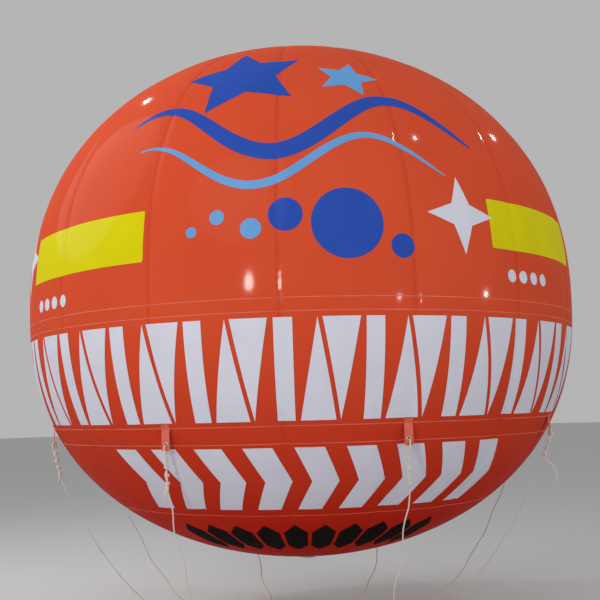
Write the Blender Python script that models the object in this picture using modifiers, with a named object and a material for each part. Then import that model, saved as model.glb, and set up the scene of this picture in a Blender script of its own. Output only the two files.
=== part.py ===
"""Advertising balloon: a gored PVC envelope with a crown disc, a base disc with its filling valve, and tabs
round its lower half, whose eyelets carry the rope rigging that meets at one ring below.

Metres, +Z up. The origin is the centre of the envelope's widest ring. A bearing is in degrees round +Z, seen
from above: 0 points along -Y, to the front, and 90 along +X.
"""

import math

import bmesh
import bpy
from mathutils import Matrix, Vector

# Envelope: an oblate sphere, a little squarer than an ellipse below its widest ring.
RADIUS = 1.83
RISE = 1.77
DROP = 1.665
CROWN_POWER = 2.23
KEEL_POWER = 2.37
WALL = 0.010
TOUCH = 0.0003

# Gores, with a weld seam at each side. Every second seam carries a tab.
GORES = 16
SEAM_BEARING = -3.5
SEAM_GAP = 0.0005  # radians
GORE_FACETS = 3
TAB_RING_Z = -0.778

# Discs that cover the gores' tips.
CROWN_DISC_RADIUS = 0.22
CROWN_TIP_RADIUS = 0.12
BASE_DISC_RADIUS = 0.26
BASE_TIP_RADIUS = 0.15
BASE_FLAT_RADIUS = 0.09
BASE_HOLE_RADIUS = 0.030
DISC_SHEET = 0.004

# Filling valve under the base disc, with a hinged cap.
FLANGE_RADIUS = 0.070
FLANGE_SHEET = 0.004
NECK_OUTER = 0.032
NECK_BORE = 0.026
NECK_LENGTH = 0.028
LIP_RADIUS = 0.036
LIP_HEIGHT = 0.005
CAP_RADIUS = 0.036
CAP_SHEET = 0.004
CAP_SEAT_GAP = 0.0005
HINGE_X = 0.046
HINGE_BELOW_SEAT = 0.002
PIN_RADIUS = 0.0025
PIN_LENGTH = 0.030
PIN_PLAY = 0.0004
KNUCKLE_RADIUS = 0.0055
KNUCKLE_WIDTH = 0.016
LUG_WIDTH = 0.004
LUG_CENTRE_Y = 0.0113
LUG_REACH = 0.052
LUG_ROOT = 0.029  # inside the neck's wall
LUG_HEIGHT = 0.012
EAR_ROOT = 0.0395  # the ears hang beside the cap's edge
EAR_SET_DOWN = 0.001
CAP_ARM_ROOT = 0.020
CAP_ARM_INSET = 0.0005
THUMB_REACH = 0.012
THUMB_WIDTH = 0.016

# Tabs, eyelets and the rope work that hangs from them.
TAB_WIDTH = 0.050
TAB_SHEET = 0.003
TAB_WELD = 0.026
TAB_HANG = 0.118
EYELET_DROP = 0.083
EYELET_BORE = 0.008
EYELET_FLANGE = 0.0145
EYELET_BARREL = 0.0096
EYELET_LIP = 0.0012
ROPE = 0.008
CHAIN_TOP = 0.012  # below the tab's end
KNOT_PITCH = 0.044
KNOT_RADIUS = 0.019
KNOT_HALF = 0.010  # of the height that has the full radius
KNOT_TAPER = 0.004  # at each end of the run
WAIST_RADIUS = 0.011
LOOP_FOOT = ((0.004, -0.010), (0.011, 0.004))  # out from the tab's middle, above the first knot's head
LOOP_TOP = ((0.013, -0.024), (0.013, -0.010), (0.0095, -0.002), (0.004, 0.0))  # out, above the eyelet's sill

# The ring that the lines meet at, lying as low as the slack lines reach.
RING_Z = -2.188
RING_RADIUS = 0.040
RING_WIRE = 0.005
LINE_LEAD = 0.014  # straight out of the knots before the curve starts
LINE_STEPS = 24  # in the hanging curve
LYING_STEP = 0.1
WEAVE = 0.010
WEAVE_LENGTH = 0.34
WEAVE_FADE = 0.12

# Each tab's bearing from the first seam in tab steps, the number of knots in its rope work, how many degrees
# the knots lean towards the axis, and how far from the axis the line lands.
TAB_STEP = 45.0
RIGGING = {
    "front_left": (-0.5, 4, 5, 0.85),
    "front_right": (0.5, 4, 5, 0.80),
    "right_front": (1.5, 3, 19, 0.35),
    "right_back": (2.5, 4, 10, 0.55),
    "back_right": (3.5, 5, 6, 0.75),
    "back_left": (-3.5, 4, 8, 0.65),
    "left_back": (-2.5, 4, 9, 0.60),
    "left_front": (-1.5, 4, 13, 0.45),
}

for old in list(bpy.data.objects):
    bpy.data.objects.remove(old)

balloon = bpy.data.collections.new("advertising_balloon")
cutters = bpy.data.collections.new("cutters")
for collection in (balloon, cutters):
    bpy.context.scene.collection.children.link(collection)
cutters.hide_render = True


def finish(name, colour, roughness, metallic=0.0):
    made = bpy.data.materials.new(name)
    made.use_nodes = True
    shader = made.node_tree.nodes["Principled BSDF"]
    shader.inputs["Base Color"].default_value = (*colour, 1.0)
    shader.inputs["Roughness"].default_value = roughness
    shader.inputs["Metallic"].default_value = metallic
    return made


def put(name, mesh, material, place=None):
    """A node of the balloon that shows this mesh at this place."""
    piece = bpy.data.objects.new(name, mesh)
    if not mesh.materials:
        mesh.materials.append(material)
    balloon.objects.link(piece)
    piece.matrix_world = place if place else Matrix.Identity(4)
    return piece


def settled(piece):
    """The piece's mesh with its modifiers applied, in its own axes. The piece is removed."""
    bpy.context.view_layer.update()
    graph = bpy.context.evaluated_depsgraph_get()
    mesh = bpy.data.meshes.new_from_object(piece.evaluated_get(graph))
    bpy.data.objects.remove(piece)
    return mesh


def draft(mesh):
    piece = bpy.data.objects.new("draft", mesh)
    balloon.objects.link(piece)
    return piece


def turned(profile, steps, closed=False, wall=0.0):
    """A mesh turned about Z from points (radius, z). An open profile with a wall gets it on the inside."""
    shape = bmesh.new()
    points = [shape.verts.new((radius, 0, z)) for radius, z in profile]
    for first, second in zip(points, points[1:]):
        shape.edges.new((first, second))
    if closed:
        shape.edges.new((points[-1], points[0]))
    mesh = bpy.data.meshes.new("turned")
    shape.to_mesh(mesh)
    shape.free()
    piece = draft(mesh)
    screw = piece.modifiers.new("turn", "SCREW")
    screw.angle = math.tau
    screw.steps = steps
    screw.render_steps = steps
    screw.use_merge_vertices = True
    screw.merge_threshold = 0.00001
    if wall:
        shell = piece.modifiers.new("wall", "SOLIDIFY")
        shell.thickness = wall
        shell.offset = -1
        shell.use_even_offset = True
    return settled(piece)


def swept_wall(outer, inner, sweep, steps):
    """A wall between two profiles of points (radius, z), swept part of the way round Z from +X."""
    shape = bmesh.new()
    section = shape.faces.new([shape.verts.new((radius, 0, z)) for radius, z in outer + inner[::-1]])
    geometry = [section, *section.edges, *section.verts]
    bmesh.ops.spin(shape, geom=geometry, cent=(0, 0, 0), axis=(0, 0, 1), angle=sweep, steps=steps)
    bmesh.ops.recalc_face_normals(shape, faces=shape.faces)
    mesh = bpy.data.meshes.new("wall")
    shape.to_mesh(mesh)
    shape.free()
    return mesh


def tube(points, radius, resolution=2):
    """A closed round tube through these points."""
    curve = bpy.data.curves.new("tube", "CURVE")
    curve.dimensions = "3D"
    curve.bevel_depth = radius
    curve.bevel_resolution = resolution
    curve.use_fill_caps = True
    spline = curve.splines.new("POLY")
    spline.points.add(len(points) - 1)
    for point, place in zip(spline.points, points):
        point.co = (*place, 1)
    mesh = settled(draft(curve))
    shape = bmesh.new()
    shape.from_mesh(mesh)
    bmesh.ops.remove_doubles(shape, verts=shape.verts, dist=0.00001)
    bmesh.ops.recalc_face_normals(shape, faces=shape.faces)
    shape.to_mesh(mesh)
    shape.free()
    return mesh


def block(low, high):
    """A box between two corners."""
    low, high = Vector(low), Vector(high)
    shape = bmesh.new()
    size = Matrix.Diagonal((*(high - low), 1))
    bmesh.ops.create_cube(shape, size=1, matrix=Matrix.Translation((low + high) / 2) @ size)
    mesh = bpy.data.meshes.new("block")
    shape.to_mesh(mesh)
    shape.free()
    return mesh


def rod(radius, length, centre, along, segments=16):
    """A cylinder about this centre, along X, Y or Z."""
    turn = {
        "X": Matrix.Rotation(math.pi / 2, 4, "Y"),
        "Y": Matrix.Rotation(math.pi / 2, 4, "X"),
        "Z": Matrix.Identity(4),
    }[along]
    shape = bmesh.new()
    place = Matrix.Translation(centre) @ turn
    bmesh.ops.create_cone(
        shape, cap_ends=True, segments=segments, radius1=radius, radius2=radius, depth=length, matrix=place
    )
    mesh = bpy.data.meshes.new("rod")
    shape.to_mesh(mesh)
    shape.free()
    return mesh


def carved(mesh, joined=(), cut=()):
    """The mesh with others joined to it, and then others cut from it."""
    piece = draft(mesh)
    for operation, meshes in (("UNION", joined), ("DIFFERENCE", cut)):
        for other in meshes:
            tool = bpy.data.objects.new("tool", other)
            tool.hide_render = True
            tool.display_type = "WIRE"
            cutters.objects.link(tool)
            step = piece.modifiers.new(operation.lower(), "BOOLEAN")
            step.operation = operation
            step.solver = "EXACT"
            step.object = tool
    mesh = settled(piece)
    for tool in list(cutters.objects):
        bpy.data.objects.remove(tool)
    return mesh


def facing(bearing):
    """Turns what is modelled along +X to this bearing."""
    return Matrix.Rotation(math.radians(bearing - 90), 4, "Z")


# The envelope's outline. At each point its angle is 0 at the widest ring and a right angle at the pole.


def angle_at(radius):
    return math.acos(radius / RADIUS)


def tab_ring_angle():
    return math.asin((-TAB_RING_Z / DROP) ** (KEEL_POWER / 2))


def above(angle):
    return (RADIUS * math.cos(angle), RISE * math.sin(angle) ** (2 / CROWN_POWER))


def below(angle):
    return (RADIUS * math.cos(angle), -DROP * math.sin(angle) ** (2 / KEEL_POWER))


def evenly(start, end, steps):
    return [start + (end - start) * i / steps for i in range(steps + 1)]


def pushed_out(profile, by):
    """The profile moved along its normals by a distance, outwards from the envelope."""
    moved = []
    for i, (radius, z) in enumerate(profile):
        before = profile[max(i - 1, 0)]
        after = profile[min(i + 1, len(profile) - 1)]
        run = Vector((after[0] - before[0], after[1] - before[1])).normalized()
        moved.append((radius - run.y * by, z + run.x * by))
    return moved


crown_run = evenly(angle_at(CROWN_DISC_RADIUS), 0, 9)
waist_run = evenly(0, tab_ring_angle(), 4)
keel_run = evenly(tab_ring_angle(), angle_at(BASE_DISC_RADIUS), 6)
outline = [above(angle_at(CROWN_TIP_RADIUS))]
outline += [above(angle) for angle in crown_run]
outline += [below(angle) for angle in waist_run[1:]]
outline += [below(angle) for angle in keel_run[1:]]
outline += [below(angle_at(BASE_TIP_RADIUS))]

pvc = finish("envelope_pvc", (0.62, 0.075, 0.028), 0.32)
tab_pvc = finish("tab_pvc", (0.72, 0.12, 0.08), 0.45)
brass = finish("eyelet_brass", (0.62, 0.52, 0.32), 0.35, 1.0)
rope = finish("rope", (0.68, 0.64, 0.56), 0.85)
plastic = finish("valve_plastic", (0.55, 0.54, 0.52), 0.5)
steel = finish("ring_steel", (0.55, 0.56, 0.58), 0.3, 1.0)

# Gores
gore_angle = math.tau / GORES
gore = swept_wall(outline, pushed_out(outline, -WALL), gore_angle - SEAM_GAP, GORE_FACETS)
for number in range(GORES):
    bearing = SEAM_BEARING + math.degrees(gore_angle) * number + math.degrees(SEAM_GAP) / 2
    put(f"gore_{number + 1:02d}", gore, pvc, facing(bearing))

# Discs, with the same facets as the gores
facets = GORES * GORE_FACETS
crown_points = [(0.0, above(math.pi / 2)[1]), outline[0], outline[1]]
crown_skin = pushed_out(crown_points, TOUCH + DISC_SHEET)
crown_skin[0] = (0.0, crown_points[0][1] + TOUCH + DISC_SHEET)
put("crown_disc", turned(crown_skin, facets, wall=DISC_SHEET), pvc, facing(SEAM_BEARING))

flat_z = outline[-1][1] - TOUCH
rim = pushed_out([outline[-2], outline[-1], (BASE_FLAT_RADIUS, flat_z)], TOUCH)
base_top = [(BASE_HOLE_RADIUS, flat_z), (BASE_FLAT_RADIUS, flat_z), rim[1], rim[0]]
base_bottom = [(radius, z - DISC_SHEET) for radius, z in reversed(base_top)]
put("base_disc", turned(base_bottom + base_top, facets, closed=True), pvc, facing(SEAM_BEARING))

# Valve
flange_top = flat_z - DISC_SHEET - TOUCH
flange_under = flange_top - FLANGE_SHEET
neck_end = flange_top - NECK_LENGTH
hinge_z = neck_end - CAP_SEAT_GAP - HINGE_BELOW_SEAT
neck = turned(
    [
        (NECK_BORE, flange_top),
        (FLANGE_RADIUS, flange_top),
        (FLANGE_RADIUS, flange_under),
        (NECK_OUTER, flange_under),
        (NECK_OUTER, neck_end + LIP_HEIGHT),
        (LIP_RADIUS, neck_end + LIP_HEIGHT),
        (LIP_RADIUS, neck_end),
        (NECK_BORE, neck_end),
    ],
    32,
    closed=True,
)
lugs = []
for side in (-1, 1):
    inner = side * LUG_CENTRE_Y - LUG_WIDTH / 2
    outer = side * LUG_CENTRE_Y + LUG_WIDTH / 2
    lug_top = neck_end + LUG_HEIGHT
    lugs.append(block((LUG_ROOT, inner, neck_end), (LUG_REACH, outer, lug_top)))
    ear_foot = (EAR_ROOT, inner, hinge_z - KNUCKLE_RADIUS)
    lugs.append(block(ear_foot, (LUG_REACH, outer, lug_top - EAR_SET_DOWN)))
pin_bore = rod(PIN_RADIUS + TOUCH, PIN_LENGTH * 2, (HINGE_X, 0, hinge_z), "Y")
put("valve_neck", carved(neck, lugs, [pin_bore]), plastic)

cap_top = neck_end - CAP_SEAT_GAP
cap = rod(CAP_RADIUS, CAP_SHEET, (0, 0, cap_top - CAP_SHEET / 2), "Z", 32)
arm_foot = cap_top - CAP_SHEET + CAP_ARM_INSET
arm_head = cap_top - CAP_ARM_INSET
arm = block((CAP_ARM_ROOT, -KNUCKLE_WIDTH / 2, arm_foot), (HINGE_X, KNUCKLE_WIDTH / 2, arm_head))
knuckle = rod(KNUCKLE_RADIUS, KNUCKLE_WIDTH, (HINGE_X, 0, hinge_z), "Y")
thumb = block(
    (-CAP_RADIUS - THUMB_REACH, -THUMB_WIDTH / 2, arm_foot),
    (-CAP_ARM_ROOT, THUMB_WIDTH / 2, arm_head),
)
knuckle_bore = rod(PIN_RADIUS + PIN_PLAY, PIN_LENGTH, (HINGE_X, 0, hinge_z), "Y")
put("valve_cap", carved(cap, [arm, knuckle, thumb], [knuckle_bore]), plastic)
put("valve_pin", rod(PIN_RADIUS, PIN_LENGTH, (HINGE_X, 0, hinge_z), "Y"), steel)

# Tabs: a strap welded above the tab ring, hanging free below it
ring_point = below(tab_ring_angle())
upper_point = below(waist_run[-2])
up = Vector((upper_point[0] - ring_point[0], upper_point[1] - ring_point[1])).normalized()
out = Vector((up.y, -up.x))
weld_foot = Vector(ring_point) + out * TOUCH
weld_head = weld_foot + up * TAB_WELD
strap_end = weld_foot - Vector((0, TAB_HANG))
shape = bmesh.new()
rows = []
for point in (weld_head, weld_foot, strap_end):
    rows.append([shape.verts.new((point.x, side * TAB_WIDTH / 2, point.y)) for side in (-1, 1)])
for upper, lower in zip(rows, rows[1:]):
    shape.faces.new((upper[0], lower[0], lower[1], upper[1]))
strap_mesh = bpy.data.meshes.new("strap")
shape.to_mesh(strap_mesh)
shape.free()
strap = draft(strap_mesh)
shell = strap.modifiers.new("sheet", "SOLIDIFY")
shell.thickness = TAB_SHEET
shell.offset = 1
shell.use_even_offset = True
eyelet_z = TAB_RING_Z - EYELET_DROP
tab_middle = strap_end.x + TAB_SHEET / 2
eyelet_hole = rod(EYELET_BARREL + TOUCH, 0.04, (tab_middle, 0, eyelet_z), "X", 16)
strap = carved(settled(strap), cut=[eyelet_hole])

# Eyelets: a barrel through the tab with a rolled lip on each side
lip_face = TAB_SHEET / 2 + TOUCH
eyelet = turned(
    [
        (EYELET_BORE, lip_face + EYELET_LIP),
        (EYELET_FLANGE, lip_face + EYELET_LIP),
        (EYELET_FLANGE, lip_face),
        (EYELET_BARREL, lip_face),
        (EYELET_BARREL, -lip_face),
        (EYELET_FLANGE, -lip_face),
        (EYELET_FLANGE, -lip_face - EYELET_LIP),
        (EYELET_BORE, -lip_face - EYELET_LIP),
    ],
    16,
    closed=True,
)
eyelet_place = Matrix.Translation((tab_middle, 0, eyelet_z)) @ Matrix.Rotation(math.pi / 2, 4, "Y")

# Rope work: a loop through the eyelet and a run of knots under it
chain_head = Vector((tab_middle, strap_end.y - CHAIN_TOP))
loop_rest = eyelet_z - EYELET_BORE + ROPE / 2 + TOUCH


def rope_loop():
    """From the first knot up the tab's outside, in through the eyelet and down the inside."""
    half = [(x, chain_head.y + z) for x, z in LOOP_FOOT]
    half += [(x, loop_rest + z) for x, z in LOOP_TOP]
    points = [(tab_middle + x, 0, z) for x, z in half]
    points += [(tab_middle - x, 0, z) for x, z in reversed(half)]
    return tube(points, ROPE / 2)


def knotted(count):
    """A run of round knots, as one turned body about Z whose head is at the origin."""
    profile = [(0.0, 0.0), (WAIST_RADIUS, -KNOT_TAPER)]
    for number in range(count):
        middle = -KNOT_TAPER - KNOT_PITCH * (number + 0.5)
        profile += [(KNOT_RADIUS, middle + KNOT_HALF), (KNOT_RADIUS, middle - KNOT_HALF)]
        profile += [(WAIST_RADIUS, middle - KNOT_PITCH / 2)]
    foot = profile[-1][1] - KNOT_TAPER
    return turned([*profile, (ROPE / 2, foot), (0.0, foot)], 8)


def chain_way(lean):
    """Down a run of knots that leans this far towards the axis."""
    return Vector((-math.sin(lean), -math.cos(lean)))


def woven(points):
    """The points (radius, z) with a small sideways weave that fades out at both ends."""
    lengths = [0.0]
    for before, after in zip(points, points[1:]):
        lengths.append(lengths[-1] + (after - before).length)
    made = []
    for point, length in zip(points, lengths):
        fade = min(1, length / WEAVE_FADE, (lengths[-1] - length) / WEAVE_FADE)
        made.append((point.x, WEAVE * fade * math.sin(math.tau * length / WEAVE_LENGTH), point.y))
    return made


def line_points(count, lean, landing):
    """A slack line: a hanging curve that is level where it lands, then a level run to the ring."""
    way = chain_way(lean)
    head = chain_head + way * (2 * KNOT_TAPER + KNOT_PITCH * count + TOUCH)
    start = head + way * LINE_LEAD
    end = RING_RADIUS + RING_WIRE + TOUCH
    low, high = 0.1, 9.0
    for _ in range(60):
        first = (low + high) / 2
        scale = (start.x - landing) / math.asinh(first)
        drop = scale * (math.hypot(1, first) - 1)
        low, high = (first, high) if drop < start.y - RING_Z else (low, first)
    points = [head]
    for i in range(LINE_STEPS + 1):
        slope = first * (1 - i / LINE_STEPS)
        x = start.x - scale * (math.asinh(first) - math.asinh(slope))
        z = start.y - scale * (math.hypot(1, first) - math.hypot(1, slope))
        points.append(Vector((x, z)))
    steps = math.ceil((landing - end) / LYING_STEP)
    points += [Vector((landing + (end - landing) * i / steps, RING_Z)) for i in range(1, steps + 1)]
    return woven(points)


for side, (steps_round, knots, lean_degrees, landing) in RIGGING.items():
    place = facing(SEAM_BEARING + TAB_STEP * steps_round)
    lean = math.radians(lean_degrees)
    put(f"tab_{side}", strap, tab_pvc, place)
    put(f"eyelet_{side}", eyelet, brass, place @ eyelet_place)
    knot_mesh = knotted(knots)
    knot_mesh.transform(Matrix.Translation((chain_head.x, 0, chain_head.y)) @ Matrix.Rotation(lean, 4, "Y"))
    put(f"lashing_{side}", carved(knot_mesh, [rope_loop()]), rope, place)
    put(f"line_{side}", tube(line_points(knots, lean, landing), ROPE / 2), rope, place)

# Gathering ring, with a flat underside
section = []
for corner in range(8):
    around = math.pi / 8 + math.pi / 4 * (3 - corner)
    wide = RING_WIRE / math.cos(math.pi / 8)
    section.append((RING_RADIUS + wide * math.cos(around), RING_Z + wide * math.sin(around)))
put("gathering_ring", turned(section, 32, closed=True), steel)
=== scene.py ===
"""The advertising balloon: a gas-filled PVC envelope with its rope rigging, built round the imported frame.

Metres, +Z up, with the origin at the centre of the widest ring. A bearing is in degrees round +Z, seen from above:
0 points along -Y, to the front, and 90 along +X.
"""

import math

import bmesh
import bpy
import numpy as np
from mathutils import Matrix, Vector
from mathutils.bvhtree import BVHTree


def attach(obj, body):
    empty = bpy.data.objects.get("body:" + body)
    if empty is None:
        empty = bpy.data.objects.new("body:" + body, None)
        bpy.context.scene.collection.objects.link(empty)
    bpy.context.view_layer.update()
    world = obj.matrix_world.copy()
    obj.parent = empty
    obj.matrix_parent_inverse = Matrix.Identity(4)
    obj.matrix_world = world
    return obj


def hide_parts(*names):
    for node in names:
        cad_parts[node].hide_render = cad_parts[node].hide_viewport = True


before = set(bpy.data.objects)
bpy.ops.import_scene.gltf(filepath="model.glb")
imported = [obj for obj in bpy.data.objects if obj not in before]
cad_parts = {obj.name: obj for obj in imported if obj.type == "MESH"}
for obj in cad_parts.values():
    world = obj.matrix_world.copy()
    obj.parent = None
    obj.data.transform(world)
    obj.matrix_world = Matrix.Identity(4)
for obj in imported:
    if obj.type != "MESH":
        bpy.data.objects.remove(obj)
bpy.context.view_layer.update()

# Camera: a phone held at a standing person's eye height, about six metres from the balloon's axis and tipped up
# by a few degrees, a little off level.
camera = bpy.data.objects.new("camera", bpy.data.cameras.new("camera"))
camera.data.lens = 54.54
camera.data.sensor_width = 36
camera.data.dof.use_dof = False
camera_yaw = math.radians(-0.029)
camera_pitch = math.radians(6.779)
camera_roll = math.radians(-1.574)
level = Matrix.Rotation(-camera_yaw, 4, "Z") @ Matrix.Rotation(math.pi / 2 + camera_pitch, 4, "X")
camera.matrix_world = Matrix.Translation((0, -6.368, -0.688)) @ level @ Matrix.Rotation(camera_roll, 4, "Z")
bpy.context.scene.collection.objects.link(camera)
bpy.context.scene.camera = camera
bpy.context.scene.view_settings.view_transform = "Standard"

# The slack lines: one 8 mm twisted synthetic rope from each tab's rope work to the ring below, off-white and
# limp. Nothing pulls on them, so each hangs in its own curve to where it lands, and lies level from there.
ROPE = 0.008
ROPE_LAY = 0.026
ROPE_STRANDS = 3
ROPE_STEP = 0.004
SEAM_BEARING = -3.5
TAB_STEP = 45.0
TAB_MIDDLE = 1.674233  # the strap's middle, out from the axis
TAB_END_Z = -0.896
# For each tab: its bearing from the first seam in tab steps, its knots, how many degrees they lean towards the
# axis, and how far from the axis the line lands.
RIGGING = {
    "front_left": (-0.5, 4, 5, 0.85),
    "front_right": (0.5, 4, 5, 0.80),
    "right_front": (1.5, 3, 19, 0.35),
    "right_back": (2.5, 4, 10, 0.55),
    "back_right": (3.5, 5, 6, 0.75),
    "back_left": (-3.5, 4, 8, 0.65),
    "left_back": (-2.5, 4, 9, 0.60),
    "left_front": (-1.5, 4, 13, 0.45),
}
KNOT_PITCH = 0.044
CHAIN_TAPER = 0.004
CHAIN_HEAD = Vector((TAB_MIDDLE, 0, TAB_END_Z - 0.012))
LINE_LEAD = 0.014
LINE_STEPS = 24
LYING_STEP = 0.1
WEAVE = 0.010
WEAVE_LENGTH = 0.34
WEAVE_FADE = 0.12
RING_Z = -2.188
RING_RADIUS = 0.040
RING_WIRE = 0.005
TOUCH = 0.0003


def facing(bearing):
    """Turns what is modelled along +X to this bearing."""
    return Matrix.Rotation(math.radians(bearing - 90), 4, "Z")


def tree_of(name, inputs):
    """An empty Geometry Nodes tree with these named inputs, and its input and output nodes."""
    tree = bpy.data.node_groups.new(name, "GeometryNodeTree")
    for label, kind in [("Geometry", "Geometry"), *inputs]:
        tree.interface.new_socket(label, in_out="INPUT", socket_type=f"NodeSocket{kind}")
    tree.interface.new_socket("Geometry", in_out="OUTPUT", socket_type="NodeSocketGeometry")
    return tree, tree.nodes.new("NodeGroupInput").outputs, tree.nodes.new("NodeGroupOutput").inputs


def node(tree, kind, sockets=(), **settings):
    """A node with these settings. Each socket, by name or number, is linked to an output or set to a value."""
    made = tree.nodes.new(kind)
    for name, value in settings.items():
        setattr(made, name, value)
    for name, value in dict(sockets).items():
        if isinstance(value, bpy.types.NodeSocket):
            tree.links.new(value, made.inputs[name])
        else:
            made.inputs[name].default_value = value
    return made.outputs


def sum_of(tree, operation, *values):
    return node(tree, "ShaderNodeMath", enumerate(values), operation=operation)[0]


def grown(name, tree, values, start=None):
    """The plain mesh object that this tree makes from the start mesh with these inputs."""
    seedling = bpy.data.objects.new(name, start or bpy.data.meshes.new(name))
    bpy.context.scene.collection.objects.link(seedling)
    step = seedling.modifiers.new("nodes", "NODES")
    step.node_group = tree
    for socket in tree.interface.items_tree:
        if socket.in_out == "INPUT" and socket.name in values:
            step[socket.identifier] = values[socket.name]
    graph = bpy.context.evaluated_depsgraph_get()
    mesh = bpy.data.meshes.new_from_object(seedling.evaluated_get(graph))
    bpy.data.objects.remove(seedling)
    return shown(name, mesh)


def shown(name, mesh, material=None):
    """An object at the origin that shows this mesh."""
    made = bpy.data.objects.new(name, mesh)
    if material:
        mesh.materials.clear()
        mesh.materials.append(material)
    bpy.context.scene.collection.objects.link(made)
    return made


def dressed(piece, body, slot, *nodes):
    """The piece rides on its body and stands for these CAD nodes, which it hides; the slot is not used."""
    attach(piece, body)
    if nodes:
        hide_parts(*nodes)
    return piece


def finish(name, colour, roughness, **sockets):
    """A new Principled material: its tree and shader, with Object coordinates."""
    made = bpy.data.materials.new(name)
    made.use_nodes = True
    shader = made.node_tree.nodes["Principled BSDF"]
    shader.inputs["Base Color"].default_value = (*colour, 1)
    shader.inputs["Roughness"].default_value = roughness
    for label, value in sockets.items():
        shader.inputs[label.replace("_", " ")].default_value = value
    place = node(made.node_tree, "ShaderNodeTexCoord")["Object"]
    return made, made.node_tree, shader.inputs, place


def mottled(tree, place, scale, dark, light, detail=3.0):
    """A colour that wanders between two, by noise."""
    noise = node(tree, "ShaderNodeTexNoise", {"Vector": place, "Scale": scale, "Detail": detail})["Fac"]
    ends = {"Factor": noise, "A": (*dark, 1), "B": (*light, 1)}
    mix = tree.nodes.new("ShaderNodeMix")
    mix.data_type = "RGBA"
    tree.links.new(noise, mix.inputs["Factor"])
    mix.inputs[6].default_value = ends["A"]
    mix.inputs[7].default_value = ends["B"]
    return mix.outputs[2]


def roughened(tree, shader, place, scale, strength, distance, detail=4.0):
    """Adds a bump of noise of this scale to the shader."""
    noise = node(tree, "ShaderNodeTexNoise", {"Vector": place, "Scale": scale, "Detail": detail})["Fac"]
    height = {"Height": noise, "Strength": strength, "Distance": distance}
    tree.links.new(node(tree, "ShaderNodeBump", height)[0], shader["Normal"])


rope_finish, tree, shader, place = finish("rope_fibre", (0.68, 0.62, 0.55), 0.9, Sheen_Weight=0.25)
tree.links.new(mottled(tree, place, 260, (0.50, 0.44, 0.38), (0.84, 0.79, 0.73), 5), shader["Base Color"])
roughened(tree, shader, place, 900, 0.5, 0.0006)

rope_tree, given, result = tree_of(
    "laid_rope", [("Diameter", "Float"), ("Lay", "Float"), ("Sides", "Int"), ("Finish", "Material")]
)
line_curve = node(rope_tree, "GeometryNodeMeshToCurve", {"Mesh": given["Geometry"]})["Curve"]
along = node(rope_tree, "GeometryNodeSplineParameter")["Length"]
twist = sum_of(rope_tree, "DIVIDE", sum_of(rope_tree, "MULTIPLY", along, math.tau), given["Lay"])
twisted = node(rope_tree, "GeometryNodeSetCurveTilt", {"Curve": line_curve, "Tilt": twist})["Curve"]
round_one = node(rope_tree, "GeometryNodeCurvePrimitiveCircle", {"Resolution": given["Sides"], "Radius": 1.0})
spot = node(rope_tree, "GeometryNodeInputPosition")[0]
axes = node(rope_tree, "ShaderNodeSeparateXYZ", {0: spot})
turn = sum_of(rope_tree, "MULTIPLY", sum_of(rope_tree, "ARCTAN2", axes["Y"], axes["X"]), ROPE_STRANDS)
lobes = sum_of(rope_tree, "MULTIPLY_ADD", sum_of(rope_tree, "COSINE", turn), 0.10, 0.95)
half = sum_of(rope_tree, "MULTIPLY", sum_of(rope_tree, "MULTIPLY", lobes, 0.5), given["Diameter"])
scaled = node(rope_tree, "ShaderNodeVectorMath", {0: spot, "Scale": half}, operation="SCALE")[0]
section = node(rope_tree, "GeometryNodeSetPosition", {"Geometry": round_one["Curve"], "Position": scaled})[0]
swept = node(
    rope_tree, "GeometryNodeCurveToMesh", {"Curve": twisted, "Profile Curve": section, "Fill Caps": True}
)[0]
smooth = node(rope_tree, "GeometryNodeSetShadeSmooth", {"Geometry": swept})[0]
coated = node(rope_tree, "GeometryNodeSetMaterial", {"Geometry": smooth, "Material": given["Finish"]})[0]
rope_tree.links.new(node(rope_tree, "GeometryNodeRealizeInstances", {"Geometry": coated})[0], result[0])


def spaced(points, step=ROPE_STEP):
    """The smooth curve through these points, as points one step apart."""
    ends = [2 * points[0] - points[1], *points, 2 * points[-1] - points[-2]]
    fine = []
    for a, b, c, d in zip(ends, ends[1:], ends[2:], ends[3:]):
        for i in range(12):
            t = i / 12
            bend = (2 * a - 5 * b + 4 * c - d) * t * t + (3 * b - a - 3 * c + d) * t * t * t
            fine.append((2 * b + (c - a) * t + bend) / 2)
    fine.append(points[-1])
    gone = np.cumsum([0] + [(b - a).length for a, b in zip(fine, fine[1:])])
    count = max(2, round(gone[-1] / step))
    wanted = np.linspace(0, gone[-1], count + 1)
    columns = [np.interp(wanted, gone, [p[axis] for p in fine]) for axis in range(3)]
    return [Vector(p) for p in zip(*columns)]


def laid(name, runs, diameter=ROPE, sides=12):
    """Twisted rope along each of these runs of points, as one object."""
    path = bpy.data.meshes.new(name)
    points = [p for run in runs for p in run]
    edges = []
    for run in runs:
        first = len(edges) + sum(1 for _ in runs[: runs.index(run)])
        edges += [(first + i, first + i + 1) for i in range(len(run) - 1)]
    path.from_pydata(points, edges, [])
    values = {"Diameter": diameter, "Lay": ROPE_LAY * diameter / ROPE, "Sides": sides, "Finish": rope_finish}
    return grown(name, rope_tree, values, path)


def chain_way(lean):
    """Down a run of knots that leans this many degrees towards the axis."""
    return Vector((-math.sin(math.radians(lean)), 0, -math.cos(math.radians(lean))))


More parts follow.
